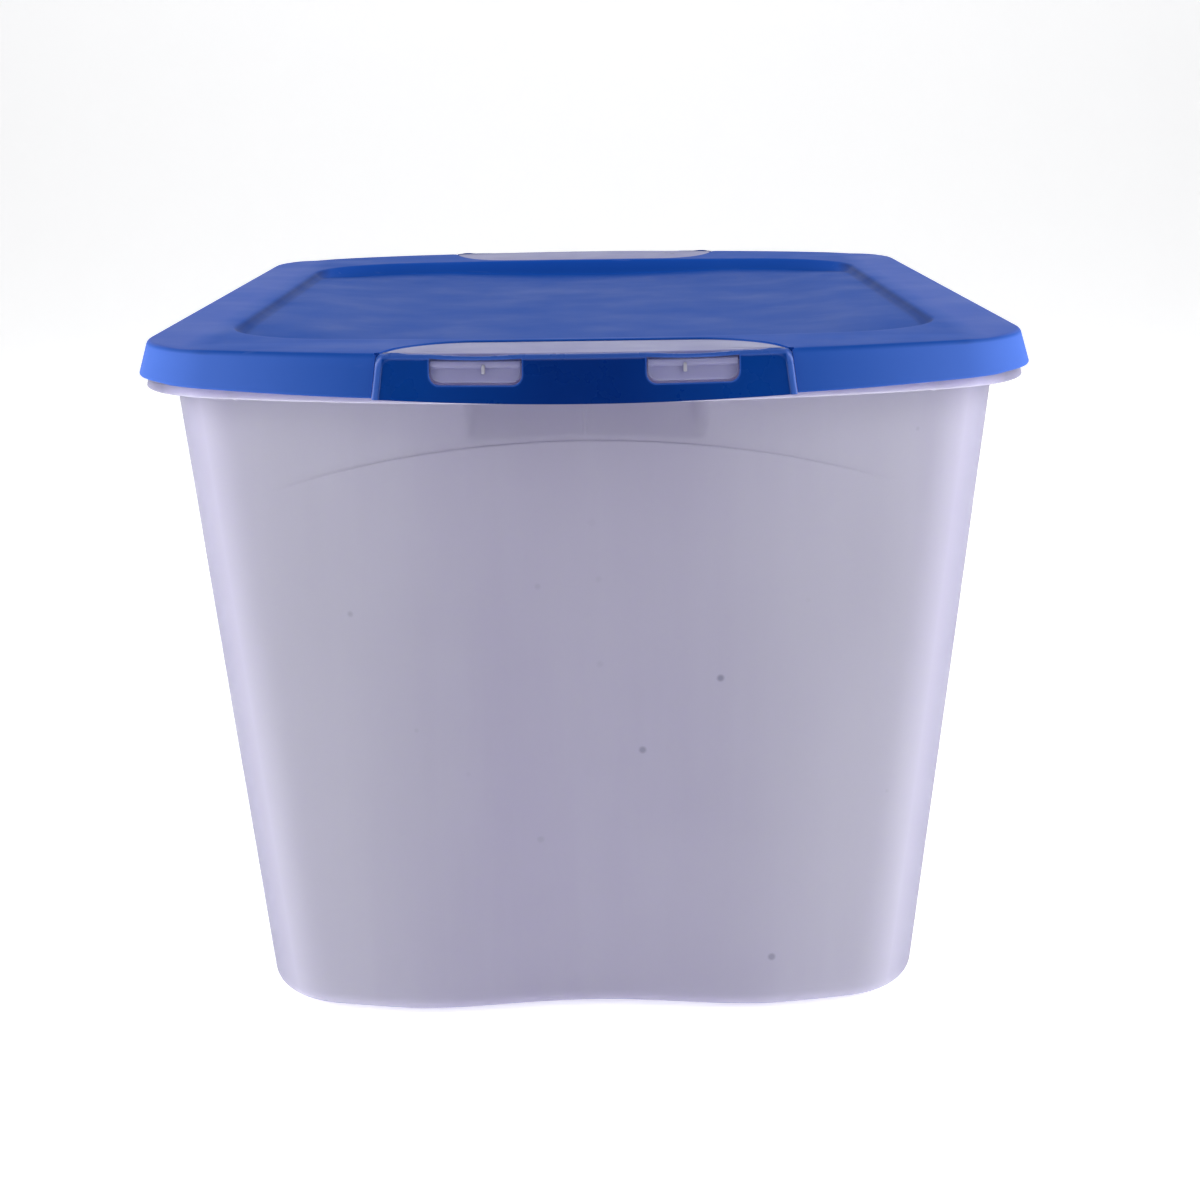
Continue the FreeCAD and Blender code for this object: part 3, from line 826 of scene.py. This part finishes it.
MILK = (0.450, 0.425, 0.618)         # tub plastic
MILK_CLOUD = (0.472, 0.448, 0.640)   # its paler clouds
MILK_STREAK = (0.487, 0.467, 0.655)  # its flow streaks
MILK_PAINTED_GLOW = (0.620, 0.605, 0.790)    # painted light: paler where more light would come through
MILK_SIDE_SHADE = (0.215, 0.210, 0.295)   # painted shade on its side walls
MILK_SPECK = (0.260, 0.255, 0.390)   # specks in it
BLUE = (0.008, 0.074, 0.410)         # lid plastic
BLUE_CLOUD = (0.012, 0.082, 0.430)   # its paler clouds
BLUE_HAZE = (0.070, 0.150, 0.470)    # haze on it
BLUE_SCUFF = (0.160, 0.240, 0.560)   # light scuffs
BLUE_PANEL_SHADE = (0.003, 0.048, 0.270)    # painted shade on the floor of the sunken panel
BLUE_SLOPE_SHADE = (0.002, 0.034, 0.200)   # painted shade: dark line along the sides of the panel
BLUE_BAND_SHEEN = (0.050, 0.116, 0.480)    # painted sheen: paler, greyer blue on the flat band at each side
BLUE_SKIRT_LIT = (0.060, 0.150, 0.580)   # painted light: paler blue on the skirt
NAVY = (0.001, 0.041, 0.265)         # latch plastic
NAVY_CLOUD = (0.0015, 0.046, 0.285)  # its paler clouds
NAVY_MIDDLE_SHADE = (0.0006, 0.020, 0.170)   # painted shade on the middle of the latch
NAVY_EDGE_HIGHLIGHT = (0.045, 0.125, 0.500)  # painted highlight on the border and window edges
SHELF_SHADE = (0.49, 0.53, 0.68)      # painted shade: the shelves are drawn darker than the walls
LUG_SHADE = (0.72, 0.75, 0.86)        # painted shade on the lugs too, but less
RIB_HIGHLIGHT = (1.1, 1.1, 1.05)          # painted highlight: the ribs on the lugs are drawn paler


def new_material(name):
    mat = bpy.data.materials.new(name)
    mat.use_nodes = True
    return mat, mat.node_tree, mat.node_tree.nodes["Principled BSDF"]


def node(tree, kind, **values):
    """New node; values set its sockets by name."""
    made = tree.nodes.new(kind)
    for key, value in values.items():
        made.inputs[key.replace("_", " ")].default_value = value
    return made


def grain(tree, scale, detail=2.0, stretch=(1, 1, 1), roughness=0.5):
    """Noise in object space, drawn out by stretch; returns its value socket."""
    where = tree.nodes.new("ShaderNodeTexCoord")
    warp = tree.nodes.new("ShaderNodeMapping")
    warp.inputs["Scale"].default_value = stretch
    tree.links.new(where.outputs["Object"], warp.inputs["Vector"])
    made = node(tree, "ShaderNodeTexNoise", Scale=scale, Detail=detail, Roughness=roughness)
    tree.links.new(warp.outputs["Vector"], made.inputs["Vector"])
    return made.outputs["Fac"]


def remap(tree, socket, low, high, to_low, to_high):
    made = node(tree, "ShaderNodeMapRange", From_Min=low, From_Max=high, To_Min=to_low, To_Max=to_high)
    tree.links.new(socket, made.inputs["Value"])
    return made.outputs["Result"]


def blend(tree, amount, a, b):
    """Colour between a and b, which are colours or sockets."""
    made = tree.nodes.new("ShaderNodeMix")
    made.data_type = "RGBA"
    tree.links.new(amount, made.inputs[0])
    for index, value in ((6, a), (7, b)):
        if isinstance(value, bpy.types.NodeSocket):
            tree.links.new(value, made.inputs[index])
        else:
            made.inputs[index].default_value = (*value, 1)
    return made.outputs[2]


def add_bump(tree, shader, parts):
    """Chain of bumps from (height socket, strength, distance in mm)."""
    last = None
    for height, strength, distance in parts:
        bump = node(tree, "ShaderNodeBump", Strength=strength, Distance=distance * MM)
        tree.links.new(height, bump.inputs["Height"])
        if last:
            tree.links.new(last, bump.inputs["Normal"])
        last = bump.outputs["Normal"]
    tree.links.new(last, shader.inputs["Normal"])


def maths(tree, kind, a, b=0.0):
    """Result of a maths node on two sockets or numbers."""
    made = tree.nodes.new("ShaderNodeMath")
    made.operation = kind
    for index, value in enumerate((a, b)):
        if isinstance(value, bpy.types.NodeSocket):
            tree.links.new(value, made.inputs[index])
        else:
            made.inputs[index].default_value = value
    return made.outputs["Value"]


def both(tree, a, b):
    """Product of two values."""
    return maths(tree, "MULTIPLY", a, b)


def place_on_tote(tree):
    """Sockets for |x|, |y| and z of a point, in metres."""
    where = tree.nodes.new("ShaderNodeTexCoord")
    split = tree.nodes.new("ShaderNodeSeparateXYZ")
    tree.links.new(where.outputs["Object"], split.inputs["Vector"])
    x = maths(tree, "ABSOLUTE", split.outputs["X"])
    y = maths(tree, "ABSOLUTE", split.outputs["Y"])
    return x, y, split.outputs["Z"]


def specks(tree, scale, size):
    """Sparse small dots, some fainter than others: above 0 inside a dot, 0 elsewhere."""
    where = tree.nodes.new("ShaderNodeTexCoord")
    cells = node(tree, "ShaderNodeTexVoronoi", Scale=scale)
    tree.links.new(where.outputs["Object"], cells.inputs["Vector"])
    near = remap(tree, cells.outputs["Distance"], size * 0.5, size, 1.0, 0.0)
    split = tree.nodes.new("ShaderNodeSeparateColor")
    tree.links.new(cells.outputs["Color"], split.inputs["Color"])
    return both(tree, near, split.outputs["Red"])


def painted_wall_glow(tree):
    """Mask for painted light: the end wall is drawn paler beside its middle, up to the lip."""
    x, _, z = place_on_tote(tree)
    inner = remap(tree, x, 0.04, 0.12, 0.0, 0.45)
    outer = remap(tree, x, 0.155, 0.19, 1.0, 0.1)
    return both(tree, both(tree, inner, outer), remap(tree, z, 0.315, 0.318, 1.0, 0.0))


def painted_side_shade(tree):
    """Mask for painted shade: the side walls are drawn darker, beginning on the upright corners."""
    x, _, z = place_on_tote(tree)
    lean = (WALL_TOP_LINE[0] - WALL_BASE_LINE[0]) / LIP_LOW
    out = maths(tree, "SUBTRACT", x, both(tree, z, lean))
    return remap(tree, out, (WALL_BASE_LINE[0] - 16.0) * MM, WALL_BASE_LINE[0] * MM, 0.0, 1.0)


def tub_material(name, tint=(1, 1, 1)):
    """Milky translucent polypropylene with flow streaks, fine texture and a few specks, painted light on
    the end walls and painted shade on the side walls; tint gives the darker or paler copies used for
    painted shade or highlight.
    """
    def tone(colour):
        return tuple(c * t for c, t in zip(colour, tint))

    mat, tree, shader = new_material(name)
    cloud = remap(tree, grain(tree, 7.0, 3.0), 0.35, 0.65, 0.0, 1.0)
    milk = blend(tree, cloud, tone(MILK), tone(MILK_CLOUD))
    streak = remap(tree, grain(tree, 60.0, 2.0, (1, 1, 0.06)), 0.42, 0.62, 0.0, 0.35)
    milk = blend(tree, streak, milk, tone(MILK_STREAK))
    # painted light: the end wall is paler beside its middle, up to the lip
    milk = blend(tree, painted_wall_glow(tree), milk, tone(MILK_PAINTED_GLOW))
    # painted shade: side walls and upright corners are drawn darker
    milk = blend(tree, painted_side_shade(tree), milk, tone(MILK_SIDE_SHADE))
    milk = blend(tree, specks(tree, 30.0, 0.072), milk, tone(MILK_SPECK))
    tree.links.new(milk, shader.inputs["Base Color"])
    rough = remap(tree, grain(tree, 25.0, 4.0), 0.3, 0.7, 0.36, 0.50)
    tree.links.new(rough, shader.inputs["Roughness"])
    shader.inputs["Specular IOR Level"].default_value = 0.12
    shader.inputs["Subsurface Weight"].default_value = 0.8
    shader.inputs["Subsurface Radius"].default_value = (1.0, 0.95, 1.1)
    shader.inputs["Subsurface Scale"].default_value = 0.010
    shader.inputs["IOR"].default_value = 1.49
    fine = grain(tree, 1400.0, 2.0)
    lines = grain(tree, 420.0, 1.0, (1, 1, 0.05))
    add_bump(tree, shader, [(lines, 0.25, 0.03), (fine, 0.3, 0.03)])
    return mat


def panel_floor_painted_shade(tree):
    """Mask for painted shade: darker blue on the floor of the sunken panel."""
    x, _, z = place_on_tote(tree)
    inside = remap(tree, x, 0.170, 0.180, 0.25, 0.0)
    return both(tree, inside, remap(tree, z, 0.331, 0.3365, 1.0, 0.0))


def painted_slope_shade(tree):
    """Mask for painted shade: soft dark line along the side slopes of the sunken panel."""
    x, _, z = place_on_tote(tree)
    middle = (PANEL_FOOT[0] + PANEL_LINE[0]) / 2 * MM
    off = maths(tree, "ABSOLUTE", maths(tree, "SUBTRACT", x, middle))
    line = remap(tree, off, 0.0, 0.0055, 0.9, 0.0)
    return both(tree, line, remap(tree, z, 0.3362, 0.3372, 1.0, 0.0))


def band_sheen_mask(tree):
    """Mask for painted sheen: 1 on the flat band along each side of the lid."""
    x, _, z = place_on_tote(tree)
    return both(tree, remap(tree, x, 0.178, 0.190, 0.0, 1.0), remap(tree, z, 0.3368, 0.3375, 0.0, 1.0))


def skirt_painted_light_mask(tree):
    """Mask for painted light: 1 on the skirt of the lid, less towards the latches, and 0 inside the rim of
    the panel.
    """
    x, y, z = place_on_tote(tree)
    beyond_side = remap(tree, x, PANEL_LINE[0] * MM, (PANEL_LINE[0] + 5) * MM, 0.0, 1.0)
    beyond_end = remap(tree, y, (PANEL_LINE[1] + 2) * MM, (PANEL_LINE[1] + 7) * MM, 0.0, 1.0)
    outside = maths(tree, "MAXIMUM", beyond_side, beyond_end)
    skirt = both(tree, remap(tree, x, 0.105, 0.17, 0.35, 1.0), remap(tree, z, 0.3355, 0.3375, 1.0, 0.0))
    return both(tree, skirt, outside)


def lid_material():
    """Matt textured blue plastic with a faint haze and light scuffs; painted light makes it paler on its
    skirt and band, painted shade darker on the panel floor and along its side slopes.
    """
    mat, tree, shader = new_material("lid_plastic")
    cloud = remap(tree, grain(tree, 5.0, 3.0), 0.3, 0.7, 0.0, 1.0)
    blue = blend(tree, cloud, BLUE, BLUE_CLOUD)
    haze = remap(tree, grain(tree, 14.0, 5.0, (1, 0.6, 1), 0.65), 0.5, 0.8, 0.0, 0.08)
    blue = blend(tree, haze, blue, BLUE_HAZE)
    scuff = remap(tree, grain(tree, 170.0, 2.0, (0.12, 1, 1)), 0.68, 0.76, 0.0, 0.14)
    blue = blend(tree, scuff, blue, BLUE_SCUFF)
    # painted shade: the floor of the sunken panel is drawn darker
    blue = blend(tree, panel_floor_painted_shade(tree), blue, BLUE_PANEL_SHADE)
    # painted shade: soft dark line along the side slopes of the panel
    blue = blend(tree, painted_slope_shade(tree), blue, BLUE_SLOPE_SHADE)
    # painted sheen: the flat band along each side is drawn paler and greyer
    blue = blend(tree, band_sheen_mask(tree), blue, BLUE_BAND_SHEEN)
    # painted light: the skirt is drawn paler, less so towards the latches
    blue = blend(tree, skirt_painted_light_mask(tree), blue, BLUE_SKIRT_LIT)
    tree.links.new(blue, shader.inputs["Base Color"])
    rough = remap(tree, grain(tree, 18.0, 4.0), 0.3, 0.7, 0.46, 0.60)
    tree.links.new(rough, shader.inputs["Roughness"])
    shader.inputs["Specular IOR Level"].default_value = 0.04
    shader.inputs["IOR"].default_value = 1.49
    add_bump(tree, shader, [(grain(tree, 900.0, 3.0), 0.5, 0.06)])
    return mat


def border_highlight_mask(tree):
    """Mask for painted highlight: 1 on the raised border of a latch and round its windows, 0 on its field.
    """
    x, _, z = place_on_tote(tree)
    lean = LATCH_SPREAD / (LATCH_TOP - LATCH_LOW)
    start = (FIELD_HALF + lean * LATCH_TOP) * MM
    side = maths(tree, "ADD", x, both(tree, z, lean))
    side = remap(tree, side, start, start + 0.7 * MM, 0.0, 1.0)
    top = remap(tree, z, FIELD_TOP * MM, (FIELD_TOP + 0.7) * MM, 0.0, 0.7)
    beside = maths(tree, "ABSOLUTE", maths(tree, "SUBTRACT", x, WINDOW_MID * MM))
    beside = maths(tree, "SUBTRACT", beside, (WINDOW_HALF - WINDOW_ROUND) * MM)
    below = maths(tree, "SUBTRACT", (WINDOW_LOW + WINDOW_ROUND) * MM, z)
    beside = maths(tree, "POWER", maths(tree, "MAXIMUM", beside, 0.0), 2.0)
    below = maths(tree, "POWER", maths(tree, "MAXIMUM", below, 0.0), 2.0)
    away = maths(tree, "SQRT", maths(tree, "ADD", beside, below))
    window = remap(tree, away, (WINDOW_ROUND + 0.3) * MM, (WINDOW_ROUND + 0.8) * MM, 0.8, 0.0)
    return maths(tree, "MAXIMUM", maths(tree, "MAXIMUM", side, top), window)


def latch_material():
    """Smoother, glossier blue plastic, with painted highlights on its border and window edges and painted
    shade towards its middle.
    """
    mat, tree, shader = new_material("latch_plastic")
    cloud = remap(tree, grain(tree, 14.0, 3.0), 0.2, 0.8, 0.0, 1.0)
    navy = blend(tree, cloud, NAVY, NAVY_CLOUD)
    # painted shade: the latch is drawn darker towards its middle
    middle = remap(tree, place_on_tote(tree)[0], 0.015, 0.075, 0.8, 0.0)
    navy = blend(tree, middle, navy, NAVY_MIDDLE_SHADE)
    # painted highlight: the border and window edges are drawn paler
    navy = blend(tree, border_highlight_mask(tree), navy, NAVY_EDGE_HIGHLIGHT)
    tree.links.new(navy, shader.inputs["Base Color"])
    rough = remap(tree, grain(tree, 60.0, 4.0), 0.2, 0.8, 0.24, 0.34)
    tree.links.new(rough, shader.inputs["Roughness"])
    shader.inputs["IOR"].default_value = 1.49
    shader.inputs["Specular IOR Level"].default_value = 0.25
    add_bump(tree, shader, [(grain(tree, 1500.0, 2.0), 0.12, 0.02)])
    return mat


# ---------------------------------------------------------------- the tote

TUB_FINISH = tub_material("tub_plastic")
# darker copy of the tub plastic: painted shade on the shelves
SHELF_SHADED_FINISH = tub_material("tub_plastic_shelf_shaded", SHELF_SHADE)
# darker copy of the tub plastic: painted shade on the lugs
LUG_SHADED_FINISH = tub_material("tub_plastic_lug_shaded", LUG_SHADE)
# paler copy of the tub plastic: painted highlight on the ribs
RIB_HIGHLIGHT_FINISH = tub_material("tub_plastic_rib_highlight", RIB_HIGHLIGHT)
LID_FINISH = lid_material()
LATCH_FINISH = latch_material()

place(make_tub_shell(), TUB_FINISH, "tub", "tub_plastic", "tub")
place(make_lid_shell(), LID_FINISH, "lid", "lid_plastic", "lid")
for end, far_end in (("front", False), ("rear", True)):
    place(make_shelf("tub_shelf_" + end, far_end), SHELF_SHADED_FINISH, "tub", "tub_plastic")
    for side, sign in (("left", -1), ("right", 1)):
        lug = make_lug("tub_lug_" + end + "_" + side, sign * WINDOW_MID, far_end)
        place(lug, LUG_SHADED_FINISH, "tub", "tub_plastic")
        rib = make_rib("tub_rib_" + end + "_" + side, sign * WINDOW_MID, far_end)
        place(rib, RIB_HIGHLIGHT_FINISH, "tub", "tub_plastic")
        gusset = make_gusset("tub_gusset_" + end + "_" + side, sign, far_end)
        place(gusset, TUB_FINISH, "tub", "tub_plastic")
    place(make_bosses("lid_bosses_" + end, far_end), LID_FINISH, "lid", "lid_plastic")
    latch = "latch_" + end
    place(make_latch_plate(latch + "_plate", far_end), LATCH_FINISH, latch, "latch_plastic", latch)
    place(make_ears(latch + "_ears", far_end), LATCH_FINISH, latch, "latch_plastic")

# ---------------------------------------------------------------- stage


def area_light(name, spot, aim, size, power, tint=(1, 1, 1)):
    data = bpy.data.lights.new(name, "AREA")
    data.shape = "RECTANGLE"
    data.size, data.size_y = size
    data.energy = power
    data.color = tint
    lamp = bpy.data.objects.new(name, data)
    lamp.location = spot
    lamp.rotation_euler = (Vector(aim) - Vector(spot)).to_track_quat("-Z", "Y").to_euler()
    bpy.context.scene.collection.objects.link(lamp)


def make_stage():
    """Pale sweep: a floor that curves up into a back wall."""
    profile = [(-4.0, 0.0), (2.2, 0.0)]
    for i in range(1, 17):
        a = math.pi / 2 * i / 16
        profile.append((2.2 + 1.2 * math.sin(a), 1.2 - 1.2 * math.cos(a)))
    profile.append((3.4, 5.0))
    verts, faces = [], []
    for y, z in profile:
        verts += [(-6, y, z), (6, y, z)]
    for i in range(len(profile) - 1):
        faces.append((2 * i, 2 * i + 1, 2 * i + 3, 2 * i + 2))
    mesh = bpy.data.meshes.new("stage_sweep")
    mesh.from_pydata(verts, [], faces)
    mesh.polygons.foreach_set("use_smooth", [True] * len(mesh.polygons))
    sweep = bpy.data.objects.new("stage_sweep", mesh)
    bpy.context.scene.collection.objects.link(sweep)
    mat, tree, shader = new_material("stage_paper")
    shader.inputs["Base Color"].default_value = (0.90, 0.90, 0.91, 1)
    shader.inputs["Roughness"].default_value = 0.9
    shader.inputs["Emission Color"].default_value = (1.0, 1.0, 1.0, 1)
    shader.inputs["Emission Strength"].default_value = 0.5
    mesh.materials.append(mat)


def make_world():
    """Soft studio surround, dark on the camera's side and brighter behind the tote."""
    world = bpy.data.worlds.new("studio")
    world.use_nodes = True
    tree = world.node_tree
    bg = tree.nodes["Background"]
    bg.inputs["Color"].default_value = (0.96, 0.97, 1.0, 1)
    where = tree.nodes.new("ShaderNodeTexCoord")
    split = tree.nodes.new("ShaderNodeSeparateXYZ")
    tree.links.new(where.outputs["Generated"], split.inputs["Vector"])
    tree.links.new(remap(tree, split.outputs["Y"], -0.7, 0.5, 0.03, 0.28), bg.inputs["Strength"])
    bpy.context.scene.world = world


def light_scene():
    """Soft boxes at both sides and a weaker one overhead."""
    make_world()
    area_light("box_left", (-1.7, -0.3, 0.9), (0, 0, 0.2), (1.6, 1.5), 34.5)
    area_light("box_right", (1.7, -0.3, 0.9), (0, 0, 0.2), (1.6, 1.5), 37.5)
    area_light("box_top", (0, 0.6, 2.3), (0, 0.1, 0.1), (2.0, 1.8), 4)
    bpy.context.scene.view_settings.view_transform = "Standard"


make_stage()
light_scene()
